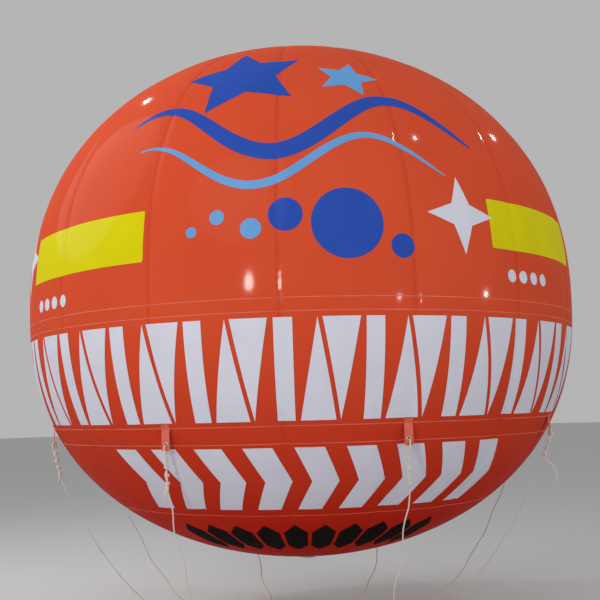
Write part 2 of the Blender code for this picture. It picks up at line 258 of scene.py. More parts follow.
def line_route(knots, lean, landing):
    """From the first knot's head down through the knots, in a slack curve to its landing, and level to the ring."""
    way = chain_way(lean)
    chain = CHAIN_HEAD + way * (2 * CHAIN_TAPER + KNOT_PITCH * knots + TOUCH)
    start = chain + way * LINE_LEAD
    end = RING_RADIUS + RING_WIRE + TOUCH
    low, high = 0.1, 9.0
    for _ in range(60):
        first = (low + high) / 2
        scale = (start.x - landing) / math.asinh(first)
        drop = scale * (math.hypot(1, first) - 1)
        low, high = (first, high) if drop < start.z - RING_Z else (low, first)
    points = [chain]
    for i in range(LINE_STEPS + 1):
        slope = first * (1 - i / LINE_STEPS)
        x = start.x - scale * (math.asinh(first) - math.asinh(slope))
        z = start.z - scale * (math.hypot(1, first) - math.hypot(1, slope))
        points.append(Vector((x, 0, z)))
    steps = math.ceil((landing - end) / LYING_STEP)
    points += [Vector((landing + (end - landing) * i / steps, 0, RING_Z)) for i in range(1, steps + 1)]
    gone = [0.0]
    for before, after in zip(points, points[1:]):
        gone.append(gone[-1] + (after - before).length)
    for point, length in zip(points, gone):
        fade = min(1, length / WEAVE_FADE, (gone[-1] - length) / WEAVE_FADE)
        point.y = WEAVE * fade * math.sin(math.tau * length / WEAVE_LENGTH)
    return [CHAIN_HEAD, (CHAIN_HEAD + chain) / 2, *points]


line_paths = {}
for side, (steps_round, knots, lean, landing) in RIGGING.items():
    turned = facing(SEAM_BEARING + TAB_STEP * steps_round)
    line_paths[side] = [turned @ p for p in spaced(line_route(knots, lean, landing))]
    line = laid(f"slack_line_{side}", [line_paths[side]])
    dressed(line, "balloon", "rope", f"line_{side}")

# The rope work at each tab: the rope's end goes through the eyelet, comes back beside the line, and is hitched
# round it at every knot. Some ends hang out as a short tail, which is unlaid and frayed.
EYELET_Z = -0.861
EYELET_BORE = 0.008
LOOP_FOOT = ((0.004, -0.010), (0.011, 0.004))
LOOP_TOP = ((0.013, -0.024), (0.013, -0.010), (0.0095, -0.002), (0.004, 0.0))
BESIDE = 0.0084  # between the middles of two ropes that touch
HITCH_TURNS = 2
HITCH_LONG = 0.018
HITCH_SLACK = 0.0016
DRIFT = 1.7  # radians round the line from one hitch to the next
STOPPER = (0.0074, 0.0062, 0.0042)
YARN = 0.0022
# Where a tail hangs out: its way aside, its length, and the length of its brush of loose yarns.
TAILS = {
    "front_left": ((0.15, -1.0), 0.045, 0.055),
    "front_right": ((0.5, -0.6), 0.012, 0.040),
    "right_front": ((1.0, 0.2), 0.140, 0.022),
    "left_front": ((0.5, 0.6), 0.018, 0.040),
}


def hitched(knots, way):
    """The rope's returning end: it goes down beside the line and takes close turns round it at every knot."""
    across = Vector((0, 1, 0))
    deep = way.cross(across)
    stops = [(0.0, 0.0, 0.0)]
    for number in range(knots):
        middle = CHAIN_TAPER + KNOT_PITCH * (number + 0.5)
        stops.append((middle - HITCH_LONG / 2, stops[-1][1] + DRIFT, 0.0))
        for i in range(1, 24 * HITCH_TURNS + 1):
            share = i / (24 * HITCH_TURNS)
            loose = HITCH_SLACK * math.sin(math.pi * share)
            angle = stops[-1][1] + math.tau / 24
            stops.append((middle + HITCH_LONG * (share - 0.5), angle, loose))
    stops.append((stops[-1][0] + 0.008, stops[-1][1] + 0.5, 0.0))
    points = []
    for length, angle, loose in stops:
        away = (across * math.sin(angle) + deep * math.cos(angle)) * (BESIDE + loose)
        points.append(CHAIN_HEAD + way * length + away)
    return points


def stopper_knot(middle, along, across):
    """An overhand knot: a trefoil whose two ends lie on the rope."""
    deep = along.cross(across)
    long, wide, thick = STOPPER
    points = []
    for i in range(25):
        t = -2.05 + 4.1 * i / 24
        fade = min(1, max(0, (2.05 - abs(t)) / 0.5))
        fade = fade * fade * (3 - 2 * fade)
        x = (t**3 - 3 * t) * long
        y = (t**4 - 4 * t * t + 1.6) * wide * fade
        z = (t**5 / 5 - 2 * t) * thick * fade
        points.append(middle + along * x + across * y + deep * z)
    return points


def frayed_tail(start, aside, length, brush, steps=10):
    """The rope's loose end, which leaves sideways and hangs, and the yarns that it comes apart in."""
    hang = []
    for i in range(steps + 1):
        t = i / steps
        out = aside * (0.45 * length * math.sin(min(1, 1.2 * t) * math.pi / 2))
        hang.append(start + out - Vector((0, 0, length * t**1.2)))
    tip = hang[-1]
    down = (hang[-1] - hang[-3]).normalized()
    across = down.cross(aside).normalized()
    beside = across.cross(down)
    yarns = []
    for number in range(9):
        swing = 2.4 * number
        spread = (across * math.cos(swing) + beside * math.sin(swing)) * (0.0035 * math.sqrt(number + 1))
        reach = brush * (0.8 + 0.2 * math.sin(3.1 * number))
        yarns.append([tip - down * 0.006, tip + down * reach * 0.45 + spread * 0.6, tip + down * reach + spread])
    return hang, yarns


for side, (steps_round, knots, lean, landing) in RIGGING.items():
    turned = facing(SEAM_BEARING + TAB_STEP * steps_round)
    way = chain_way(lean)
    rest = EYELET_Z - EYELET_BORE + ROPE / 2 + TOUCH
    half_loop = [Vector((x, 0, CHAIN_HEAD.z + z)) for x, z in LOOP_FOOT]
    half_loop += [Vector((x, 0, rest + z)) for x, z in LOOP_TOP]
    loop = [Vector((TAB_MIDDLE + p.x, 0, p.z)) for p in half_loop]
    loop += [Vector((TAB_MIDDLE - p.x, 0, p.z)) for p in reversed(half_loop)]
    end = hitched(knots, way)
    runs = [spaced(loop, 0.003), spaced(end, 0.003)]
    yarns = []
    if side in TAILS:
        (outwards, sideways), length, brush = TAILS[side]
        hang, yarns = frayed_tail(end[-1], Vector((outwards, sideways, 0)).normalized(), length, brush)
        runs.append(spaced(hang, 0.003))
        if side == "front_left":
            along = (hang[5] - hang[3]).normalized()
            runs.append(spaced(stopper_knot(hang[4], along, along.cross(Vector((1, 0, 0))).normalized()), 0.003))
    work = laid(f"rope_work_{side}", [[turned @ p for p in run] for run in runs])
    dressed(work, "balloon", "rope", f"lashing_{side}")
    if yarns:
        loose = laid(f"frayed_end_{side}", [[turned @ p for p in spaced(run, 0.003)] for run in yarns], YARN, 6)
        dressed(loose, "balloon", "rope")

# The gathering ring: a welded ring of 10 mm zinc-plated steel wire that the tether is hooked or tied to. Each line
# is tied to it with a turn and a half round the wire and a few turns back round the line itself.
steel, tree, shader, place = finish("zinc_plated_steel", (0.50, 0.51, 0.53), 0.34, Metallic=1.0)
tree.links.new(mottled(tree, place, 90, (0.38, 0.39, 0.41), (0.62, 0.63, 0.64)), shader["Base Color"])
roughened(tree, shader, place, 400, 0.25, 0.0004)


def spun(name, profile, steps, material, place=Matrix.Identity(4)):
    """A closed profile of points (radius, z) turned all the way round Z, smooth, then put in its place."""
    shape = bmesh.new()
    rings = []
    for number in range(steps):
        swing = math.tau * number / steps
        rings.append([shape.verts.new((r * math.cos(swing), r * math.sin(swing), z)) for r, z in profile])
    for one, next_one in zip(rings, rings[1:] + rings[:1]):
        for i in range(len(profile)):
            j = (i + 1) % len(profile)
            shape.faces.new((one[i], one[j], next_one[j], next_one[i])).smooth = True
    bmesh.ops.recalc_face_normals(shape, faces=shape.faces)
    mesh = bpy.data.meshes.new(name)
    shape.to_mesh(mesh)
    shape.free()
    mesh.transform(place)
    return shown(name, mesh, material)


def rounded_wire(radius, wire, z, sides=14):
    """The profile of a round wire whose middle is at this radius."""
    turns = [math.tau * i / sides for i in range(sides)]
    return [(radius + wire * math.cos(turn), z + wire * math.sin(turn)) for turn in turns]


ring = spun("gathering_ring_wire", rounded_wire(RING_RADIUS, RING_WIRE, RING_Z), 72, steel)
dressed(ring, "balloon", "ring_steel", "gathering_ring")

for side, (steps_round, knots, lean, landing) in RIGGING.items():
    turned = facing(SEAM_BEARING + TAB_STEP * steps_round)
    coil = []
    for i in range(37):
        swing = math.tau * 3 * i / 36
        away = Vector((0, math.cos(swing), math.sin(swing))) * (ROPE * 1.03)
        coil.append(Vector((0.0800 - 0.0235 * i / 36, 0, RING_Z + 0.0008)) + away)
    for i in range(1, 22):
        swing = math.tau * 1.5 * i / 21
        grip = RING_WIRE + ROPE / 2 + TOUCH
        around = Vector((RING_RADIUS + grip * math.cos(swing), 0.005 - 0.010 * i / 21, RING_Z + grip * math.sin(swing)))
        coil.append(around)
    hitch = laid(f"ring_hitch_{side}", [[turned @ p for p in spaced(coil, 0.003)]])
    dressed(hitch, "balloon", "rope")

# The envelope: sixteen gores cut from orange-red PVC sheet and heat welded edge to edge. Gas keeps them taut, the
# stiffer seams sit a little lower than the sheet between them, and the sheet puckers along each seam.
RADIUS = 1.83
RISE = 1.77
DROP = 1.665
CROWN_POWER = 2.23
KEEL_POWER = 2.37
GORES = 16
KEEL_ANGLE = -math.acos(0.15 / RADIUS)

sheet_finish, tree, shader, place = finish(
    "envelope_pvc_sheet", (0.58, 0.050, 0.018), 0.5, Specular_IOR_Level=0.0, Coat_Weight=0.085, Coat_Roughness=0.09
)
# The sheet is painted lighter and more orange towards the top and darker, deeper red towards the bottom: painted light
# above and painted shade below, by height.
painted_shade_red = mottled(tree, place, 1.6, (0.45, 0.013, 0.004), (0.52, 0.020, 0.006), 4)
painted_light_red = mottled(tree, place, 1.6, (0.57, 0.060, 0.021), (0.64, 0.084, 0.032), 4)
height = node(tree, "ShaderNodeSeparateXYZ", {"Vector": place})["Z"]
# Painted shade by height: the darker red at the bottom blends into the lighter red at the top.
painted_shade_by_height = node(tree, "ShaderNodeMapRange", {"Value": height, "From Min": -1.35, "From Max": -0.15})["Result"]
painted_shade_mix = tree.nodes.new("ShaderNodeMix")
painted_shade_mix.data_type = "RGBA"
tree.links.new(painted_shade_by_height, painted_shade_mix.inputs["Factor"])
tree.links.new(painted_shade_red, painted_shade_mix.inputs[6])
tree.links.new(painted_light_red, painted_shade_mix.inputs[7])
base = painted_shade_mix.outputs[2]
lap = node(tree, "ShaderNodeAttribute", attribute_name="seam_distance")["Fac"]
in_lap = node(tree, "ShaderNodeMapRange", {"Value": lap, "From Min": 0.013, "From Max": 0.010})["Result"]
lap_mix = tree.nodes.new("ShaderNodeMix")
lap_mix.data_type = "RGBA"
tree.links.new(sum_of(tree, "MULTIPLY", in_lap, 0.28), lap_mix.inputs["Factor"])
tree.links.new(base, lap_mix.inputs[6])
lap_mix.inputs[7].default_value = (0.44, 0.035, 0.014, 1)
tree.links.new(lap_mix.outputs[2], shader["Base Color"])
roughened(tree, shader, place, 45, 0.10, 0.004, 6)

gore_tree, given, result = tree_of(
    "gore",
    [
        ("Radius", "Float"),
        ("Rise", "Float"),
        ("Drop", "Float"),
        ("Crown Power", "Float"),
        ("Keel Power", "Float"),
        ("Keel Angle", "Float"),
        ("First Seam", "Float"),
        ("Gores", "Int"),
        ("Gore Number", "Int"),
        ("Columns", "Int"),
        ("Rows", "Int"),
        ("Seam Depth", "Float"),
        ("Seam Width", "Float"),
        ("Pillow Depth", "Float"),
        ("Pucker Depth", "Float"),
        ("Pucker Width", "Float"),
        ("Wave Depth", "Float"),
        ("Seed", "Float"),
        ("Finish", "Material"),
    ],
)


def stored(tree, geometry, name, value):
    sockets = {"Geometry": geometry, "Name": name, "Value": value}
    return node(tree, "GeometryNodeStoreNamedAttribute", sockets, data_type="FLOAT", domain="POINT")["Geometry"]


def kept(tree, name):
    return node(tree, "GeometryNodeInputNamedAttribute", {"Name": name}, data_type="FLOAT")["Attribute"]


def bell(tree, distance, width):
    """1 on the seam, falling smoothly to nothing over this width."""
    ratio = sum_of(tree, "DIVIDE", distance, width)
    return sum_of(tree, "EXPONENT", sum_of(tree, "MULTIPLY", sum_of(tree, "MULTIPLY", ratio, ratio), -1.0))


def wander(tree, x, y, z):
    """Noise from -1 to 1 at this place."""
    where = node(tree, "ShaderNodeCombineXYZ", {"X": x, "Y": y, "Z": z})[0]
    noise = node(tree, "ShaderNodeTexNoise", {"Vector": where, "Scale": 1.0, "Detail": 2.0})["Fac"]
    return sum_of(tree, "MULTIPLY_ADD", noise, 2.0, -1.0)


flat = node(
    gore_tree,
    "GeometryNodeMeshGrid",
    {"Size X": 1.0, "Size Y": 1.0, "Vertices X": given["Columns"], "Vertices Y": given["Rows"]},
)["Mesh"]
spot = node(gore_tree, "ShaderNodeSeparateXYZ", {0: node(gore_tree, "GeometryNodeInputPosition")[0]})
swing = sum_of(gore_tree, "MULTIPLY", sum_of(gore_tree, "ADD", spot["X"], 0.5), math.pi)
across = sum_of(gore_tree, "MULTIPLY_ADD", sum_of(gore_tree, "COSINE", swing), -0.5, 0.5)
whole = sum_of(gore_tree, "SUBTRACT", math.pi / 2, given["Keel Angle"])
climb = sum_of(gore_tree, "MULTIPLY_ADD", sum_of(gore_tree, "ADD", spot["Y"], 0.5), whole, given["Keel Angle"])
flat = stored(gore_tree, stored(gore_tree, flat, "across", across), "climb", climb)

across = kept(gore_tree, "across")
climb = kept(gore_tree, "climb")
height = sum_of(gore_tree, "ABSOLUTE", sum_of(gore_tree, "SINE", climb))
over = sum_of(gore_tree, "POWER", height, sum_of(gore_tree, "DIVIDE", 2.0, given["Crown Power"]))
under = sum_of(gore_tree, "POWER", height, sum_of(gore_tree, "DIVIDE", 2.0, given["Keel Power"]))
above_waist = sum_of(gore_tree, "GREATER_THAN", climb, 0.0)
z = sum_of(
    gore_tree,
    "SUBTRACT",
    sum_of(gore_tree, "MULTIPLY", sum_of(gore_tree, "MULTIPLY", over, given["Rise"]), above_waist),
    sum_of(
        gore_tree,
        "MULTIPLY",
        sum_of(gore_tree, "MULTIPLY", under, given["Drop"]),
        sum_of(gore_tree, "SUBTRACT", 1.0, above_waist),
    ),
)
radius = sum_of(gore_tree, "MULTIPLY", sum_of(gore_tree, "COSINE", climb), given["Radius"])
gore_angle = sum_of(gore_tree, "DIVIDE", math.tau, given["Gores"])
turns = sum_of(gore_tree, "MULTIPLY", sum_of(gore_tree, "ADD", across, given["Gore Number"]), gore_angle)
bearing = sum_of(gore_tree, "ADD", turns, given["First Seam"])
x = sum_of(gore_tree, "MULTIPLY", radius, sum_of(gore_tree, "SINE", bearing))
y = sum_of(gore_tree, "MULTIPLY", sum_of(gore_tree, "MULTIPLY", radius, sum_of(gore_tree, "COSINE", bearing)), -1.0)
smooth_place = node(gore_tree, "ShaderNodeCombineXYZ", {"X": x, "Y": y, "Z": z})[0]
gore = node(gore_tree, "GeometryNodeSetPosition", {"Geometry": flat, "Position": smooth_place})[0]

edge = sum_of(gore_tree, "MINIMUM", across, sum_of(gore_tree, "SUBTRACT", 1.0, across))
seam_distance = sum_of(gore_tree, "MULTIPLY", sum_of(gore_tree, "MULTIPLY", edge, gore_angle), radius)
gore = stored(gore_tree, gore, "seam_distance", seam_distance)
second_half = sum_of(gore_tree, "GREATER_THAN", across, 0.5)
seam_number = sum_of(
    gore_tree, "MODULO", sum_of(gore_tree, "ADD", given["Gore Number"], second_half), given["Gores"]
)
groove = sum_of(gore_tree, "MULTIPLY", bell(gore_tree, seam_distance, given["Seam Width"]), given["Seam Depth"])
off_middle = sum_of(gore_tree, "MULTIPLY_ADD", edge, -2.0, 1.0)
fullness = sum_of(gore_tree, "POWER", off_middle, 4.0)
slimness = sum_of(gore_tree, "COSINE", climb)
pillow = sum_of(
    gore_tree, "MULTIPLY", sum_of(gore_tree, "MULTIPLY", fullness, given["Pillow Depth"]), slimness
)
pucker_place = sum_of(gore_tree, "MULTIPLY", climb, given["Radius"])
puckers = wander(
    gore_tree,
    sum_of(gore_tree, "MULTIPLY", pucker_place, 30.0),
    sum_of(gore_tree, "MULTIPLY", seam_distance, 9.0),
    sum_of(gore_tree, "MULTIPLY_ADD", seam_number, 7.3, given["Seed"]),
)
pucker = sum_of(
    gore_tree,
    "MULTIPLY",
    sum_of(gore_tree, "MULTIPLY", puckers, given["Pucker Depth"]),
    bell(gore_tree, seam_distance, given["Pucker Width"]),
)
here = node(gore_tree, "ShaderNodeSeparateXYZ", {0: node(gore_tree, "GeometryNodeInputPosition")[0]})
waves = wander(gore_tree, *[sum_of(gore_tree, "MULTIPLY_ADD", here[axis], 2.6, given["Seed"]) for axis in "XYZ"])
wave = sum_of(gore_tree, "MULTIPLY", waves, given["Wave Depth"])
push = sum_of(gore_tree, "SUBTRACT", sum_of(gore_tree, "ADD", pucker, wave), sum_of(gore_tree, "ADD", groove, pillow))
outwards = node(gore_tree, "GeometryNodeInputNormal")["Normal"]
moved = node(gore_tree, "ShaderNodeVectorMath", {0: outwards, "Scale": push}, operation="SCALE")[0]
gore = node(gore_tree, "GeometryNodeSetPosition", {"Geometry": gore, "Offset": moved})[0]
gore = node(gore_tree, "GeometryNodeMergeByDistance", {"Geometry": gore, "Distance": 0.00002})[0]
gore = node(gore_tree, "GeometryNodeSetShadeSmooth", {"Geometry": gore})[0]
gore = node(gore_tree, "GeometryNodeSetMaterial", {"Geometry": gore, "Material": given["Finish"]})[0]
gore_tree.links.new(node(gore_tree, "GeometryNodeRealizeInstances", {"Geometry": gore})[0], result[0])

skin_points, skin_faces = [], []
for number in range(GORES):
    values = {
        "Radius": RADIUS,
        "Rise": RISE,
        "Drop": DROP,
        "Crown Power": CROWN_POWER,
        "Keel Power": KEEL_POWER,
        "Keel Angle": KEEL_ANGLE,
        "First Seam": math.radians(SEAM_BEARING),
        "Gores": GORES,
        "Gore Number": number,
        "Columns": 19,
        "Rows": 460,
        "Seam Depth": 0.0022,
        "Seam Width": 0.011,
        "Pillow Depth": 0.004,
        "Pucker Depth": 0.0022,
        "Pucker Width": 0.045,
        "Wave Depth": 0.0016,
        "Seed": 3.0,
        "Finish": sheet_finish,
    }
    gore = grown(f"gore_sheet_{number + 1:02d}", gore_tree, values)
    for spare in ("across", "climb"):
        gore.data.attributes.remove(gore.data.attributes[spare])
    first = len(skin_points)
    skin_points += [v.co.copy() for v in gore.data.vertices]
    skin_faces += [[first + i for i in face.vertices] for face in gore.data.polygons]
    dressed(gore, "balloon", "envelope_pvc", f"gore_{number + 1:02d}")
skin = BVHTree.FromPolygons(skin_points, skin_faces)


# The same outline in numbers, for what is welded to or printed on the sheet. A place on it is a bearing and the
# distance along the sheet from the widest ring, above it or, below zero, under it.
climbs = np.linspace(-math.pi / 2, math.pi / 2, 1441)
outline_r = RADIUS * np.cos(climbs)
outline_z = np.where(
    climbs > 0,
    RISE * np.abs(np.sin(climbs)) ** (2 / CROWN_POWER),
    -DROP * np.abs(np.sin(climbs)) ** (2 / KEEL_POWER),
)
sheet_length = np.concatenate([[0], np.cumsum(np.hypot(np.diff(outline_r), np.diff(outline_z)))])
sheet_length -= sheet_length[720]


def along_at(z):
    """How far along the sheet from the widest ring this height is."""
    return float(np.interp(z, outline_z, sheet_length))


def radius_at(along):
    return float(np.interp(along, sheet_length, outline_r))


def on_sheet(bearing, along, lift):
    """The point this far off the sheet, and the way out there."""
    step = 0.004
    r, z = radius_at(along), float(np.interp(along, sheet_length, outline_z))
    run = np.interp([along - step, along + step], sheet_length, outline_r)
    rise = np.interp([along - step, along + step], sheet_length, outline_z)
    slope = Vector((rise[1] - rise[0], 0, run[0] - run[1])).normalized()
    turned = facing(bearing)
    out = turned @ slope
    near = turned @ Vector((r, 0, z))
    hit = skin.ray_cast(near + out * 0.05, -out, 0.2)[0] or near
    return hit + out * lift, out


# The weld rings: five bands where the printed films were heat sealed all round, a thin raised lighter line each.
WELD_RINGS = (-0.132, -0.201, -0.778, -0.871, -1.277)
weld_finish, tree, shader, place = finish("weld_line_pvc", (0.68, 0.12, 0.07), 0.45, Specular_IOR_Level=0.1)
tree.links.new(mottled(tree, place, 5, (0.54, 0.03, 0.012), (0.78, 0.22, 0.15), 6), shader["Base Color"])


def band_round(name, along, half_width, lift, material, steps=384):
    """A thin closed band round the sheet, sunk a little into it."""
    shape = bmesh.new()
    rows = []
    for number in range(steps):
        bearing = 360 * number / steps
        corners = [(-1, -0.0006), (-0.8, lift), (0.8, lift), (1, -0.0006)]
        rows.append([shape.verts.new(on_sheet(bearing, along + a * half_width, up)[0]) for a, up in corners])
    for one, next_one in zip(rows, rows[1:] + rows[:1]):
        for i in range(4):
            j = (i + 1) % 4
            shape.faces.new((one[i], next_one[i], next_one[j], one[j])).smooth = True
    bmesh.ops.recalc_face_normals(shape, faces=shape.faces)
    mesh = bpy.data.meshes.new(name)
    shape.to_mesh(mesh)
    shape.free()
    return shown(name, mesh, material)


for number, ring_z in enumerate(WELD_RINGS):
    weld = band_round(f"weld_ring_{number + 1}", along_at(ring_z), 0.0032, 0.0006, weld_finish)
    dressed(weld, "balloon", "envelope_pvc")

# The crown and base discs: round PVC patches welded over the gores' tips, the lower one with the filling hole.
CROWN_DISC_RADIUS = 0.22
BASE_DISC_RADIUS = 0.26
BASE_FLAT_Z = -1.66457
BASE_FLAT_RADIUS = 0.12
BASE_HOLE_RADIUS = 0.030


def skirted(name, rows, material):
    """A closed skin between rows of points, each row a ring, with the last row joined back to the first."""
    shape = bmesh.new()
    made = [[shape.verts.new(p) for p in row] for row in rows]
    for one, next_one in zip(made, made[1:] + made[:1]):
        for i in range(len(one)):
            j = (i + 1) % len(one)
            shape.faces.new((one[i], next_one[i], next_one[j], one[j])).smooth = True
    bmesh.ops.remove_doubles(shape, verts=shape.verts, dist=0.00001)
    bmesh.ops.recalc_face_normals(shape, faces=shape.faces)
    mesh = bpy.data.meshes.new(name)
    shape.to_mesh(mesh)
    shape.free()
    return shown(name, mesh, material)


def disc_rows(radii, lifts, sign, steps=96):
    """Rings of points on the sheet at these radii, above the widest ring or, for sign -1, below it."""
    order = np.argsort(sign * outline_z)
    half = order[sign * outline_z[order] >= 0]
    rows = []
    for radius, lift in zip(radii, lifts):
        along = float(np.interp(-radius, -outline_r[half], sheet_length[half]))
        rows.append([on_sheet(360 * i / steps, along, lift)[0] for i in range(steps)])
    return rows


crown_radii = [CROWN_DISC_RADIUS * share for share in (0.995, 1, 0.99, 0.9, 0.75, 0.6, 0.45, 0.3, 0.18, 0.08, 0.03)]
crown_lifts = [-0.0012, 0.0008, 0.0022, 0.0030, 0.0034, 0.0038, 0.0042, 0.0044, 0.0045, 0.0045, 0.0045]
crown_rows = disc_rows(crown_radii, crown_lifts, 1)
tip = sum(crown_rows[-1], Vector()) / len(crown_rows[-1])
under_tip = tip - Vector((0, 0, 0.006))
crown_rows += [[tip + (p - tip) * 0.001 for p in crown_rows[-1]]]
crown_rows += [[under_tip + (p - tip) * 0.001 for p in crown_rows[-2]]]
dressed(skirted("crown_patch", crown_rows, sheet_finish), "balloon", "envelope_pvc", "crown_disc")

base_radii = [BASE_DISC_RADIUS * share for share in (0.99, 1, 0.99, 0.92, 0.82, 0.7, 0.6)]
base_rows = disc_rows(base_radii, [-0.0010, 0.0008, 0.0026, 0.0034, 0.0038, 0.0040, 0.0041], -1)
for radius, z in ((BASE_FLAT_RADIUS, BASE_FLAT_Z), (0.075, BASE_FLAT_Z), (BASE_HOLE_RADIUS, BASE_FLAT_Z)):
    turns = [math.tau * i / 96 for i in range(96)]
    base_rows.append([facing(math.degrees(turn)) @ Vector((radius, 0, z)) for turn in turns])
base_rows += [[p + Vector((0, 0, 0.004)) for p in base_rows[-1]], [p + Vector((0, 0, 0.004)) for p in base_rows[-2]]]
dressed(skirted("base_patch", base_rows, sheet_finish), "balloon", "envelope_pvc", "base_disc")

# The tabs: a 50 mm strap of coated sheet at every second seam, heat welded above the lower weld ring. It hangs
# free below it, with a hole for an eyelet, and the top edge of the weld is rippled.
TAB_WIDTH = 0.050
TAB_SHEET = 0.0024
TAB_RING_Z = -0.778
TAB_WELD = 0.026
TAB_CORNER = 0.007
EYELET_HOLE = 0.0092
strap_finish, tree, shader, place = finish("salmon_strap_pvc", (0.64, 0.11, 0.07), 0.5, Specular_IOR_Level=0.2)
tree.links.new(mottled(tree, place, 22, (0.54, 0.075, 0.045), (0.72, 0.16, 0.11), 5), shader["Base Color"])
roughened(tree, shader, place, 700, 0.35, 0.0005)


def strap(name, bearing):
    """One tab: rows of points down the weld and then straight down, thickened, with the eyelet's hole."""
    shape = bmesh.new()
    rows = []
    root = along_at(TAB_RING_Z)
    turned = facing(bearing)
    shares = [-1, -0.92, -0.7, -0.35, 0, 0.35, 0.7, 0.92, 1]
    for i in range(12):
        up = TAB_WELD * (1 - i / 11) ** 1.2
        row = []
        for share in shares:
            offset = share * TAB_WIDTH / 2
            ripple = 0.0011 * (1 + math.sin(share * 7 + bearing)) * max(0, 1 - i / 3)
            place, out = on_sheet(bearing + math.degrees(offset / radius_at(root)), root + up, 0.0019 + ripple)
            row.append(place)
        rows.append(row)
    foot = [turned.inverted() @ p for p in rows[-1]]
    for i in range(1, 25):
        down = (TAB_RING_Z - TAB_END_Z) * i / 24
        left = TAB_RING_Z - TAB_END_Z - down
        settle = min(1, down / 0.030)
        settle = settle * settle * (3 - 2 * settle)
        pinch = TAB_CORNER - math.sqrt(max(0, TAB_CORNER**2 - max(0, TAB_CORNER - left) ** 2))
        row = []
        for share, p in zip(shares, foot):
            wide = share * (TAB_WIDTH / 2 - pinch)
            curl = 0.0012 * share * share * math.sin(down * 40)
            x = p.x * (1 - settle) + (TAB_MIDDLE + curl) * settle
            row.append(turned @ Vector((x, wide, foot[4].z - down)))
        rows.append(row)
    made = [[shape.verts.new(p) for p in row] for row in rows]
    for one, next_one in zip(made, made[1:]):
        for i in range(len(shares) - 1):
            shape.faces.new((one[i], next_one[i], next_one[i + 1], one[i + 1])).smooth = True
    mesh = bpy.data.meshes.new(name)
    shape.to_mesh(mesh)
    shape.free()
    draft = bpy.data.objects.new(name, mesh)
    bpy.context.scene.collection.objects.link(draft)
    thick = draft.modifiers.new("sheet", "SOLIDIFY")
    thick.thickness = TAB_SHEET
    thick.offset = 0
    thick.use_even_offset = True
    drill_shape = bmesh.new()
    through = turned @ Matrix.Translation((TAB_MIDDLE, 0, EYELET_Z)) @ Matrix.Rotation(math.pi / 2, 4, "Y")
    bmesh.ops.create_cone(
        drill_shape, cap_ends=True, segments=32, radius1=EYELET_HOLE, radius2=EYELET_HOLE, depth=0.03, matrix=through
    )
    drill_mesh = bpy.data.meshes.new("drill")
    drill_shape.to_mesh(drill_mesh)
    drill_shape.free()
    drill = bpy.data.objects.new("drill", drill_mesh)
    bpy.context.scene.collection.objects.link(drill)
    hole = draft.modifiers.new("eyelet hole", "BOOLEAN")
    hole.operation = "DIFFERENCE"
    hole.solver = "EXACT"
    hole.object = drill
    graph = bpy.context.evaluated_depsgraph_get()
    done = bpy.data.meshes.new_from_object(draft.evaluated_get(graph))
    bpy.data.objects.remove(draft)
    bpy.data.objects.remove(drill)
    return shown(name, done, strap_finish)


for side, (steps_round, knots, lean, landing) in RIGGING.items():
    bearing = SEAM_BEARING + TAB_STEP * steps_round
    dressed(strap(f"strap_{side}", bearing), "balloon", "tab_pvc", f"tab_{side}")

# The eyelets: rolled brass, dulled by handling, set through each strap with a washer's lip on both sides.
EYELET_RIM = 0.0145
brass, tree, shader, place = finish("dulled_brass", (0.56, 0.46, 0.28), 0.36, Metallic=1.0)
tree.links.new(mottled(tree, place, 220, (0.36, 0.28, 0.16), (0.72, 0.62, 0.42)), shader["Base Color"])
lip = [(EYELET_BORE, 0.0019), (0.0088, 0.0029), (0.0104, 0.0034), (0.0124, 0.0031), (0.0138, 0.0024)]
lip += [(EYELET_RIM, 0.0015), (0.0130, 0.0014), (0.0090, 0.0014)]
eyelet_profile = lip + [(r, -z) for r, z in reversed(lip)]
for side, (steps_round, knots, lean, landing) in RIGGING.items():
    turned = facing(SEAM_BEARING + TAB_STEP * steps_round)
    seat = turned @ Matrix.Translation((TAB_MIDDLE, 0, EYELET_Z)) @ Matrix.Rotation(math.pi / 2, 4, "Y")
    eyelet = spun(f"rolled_eyelet_{side}", eyelet_profile, 48, brass, seat)
    dressed(eyelet, "balloon", "eyelet_brass", f"eyelet_{side}")

# The filling valve: a pale grey moulded flange and neck welded under the base disc, with a push-on cap on a pin. The
# flange has a sealing bead round it, and the neck and the cap's rim are ribbed for the fingers.
FLANGE_UNDER_Z = -1.66887
NECK_OUTER = 0.032
CAP_RADIUS = 0.036
CAP_UNDER_Z = -1.697371
plastic, tree, shader, place = finish("grey_moulded_plastic", (0.55, 0.54, 0.52), 0.45)
tree.links.new(mottled(tree, place, 60, (0.50, 0.49, 0.47), (0.61, 0.60, 0.58)), shader["Base Color"])
roughened(tree, shader, place, 1400, 0.3, 0.0002)
for name, material in (("valve_neck", plastic), ("valve_cap", plastic), ("valve_pin", steel)):
    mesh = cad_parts[name].data
    mesh.materials.clear()
    mesh.materials.append(material)

bead = spun("flange_bead", rounded_wire(0.064, 0.0022, FLANGE_UNDER_Z + 0.0004, 10), 64, plastic)
dressed(bead, "balloon", "valve_plastic")

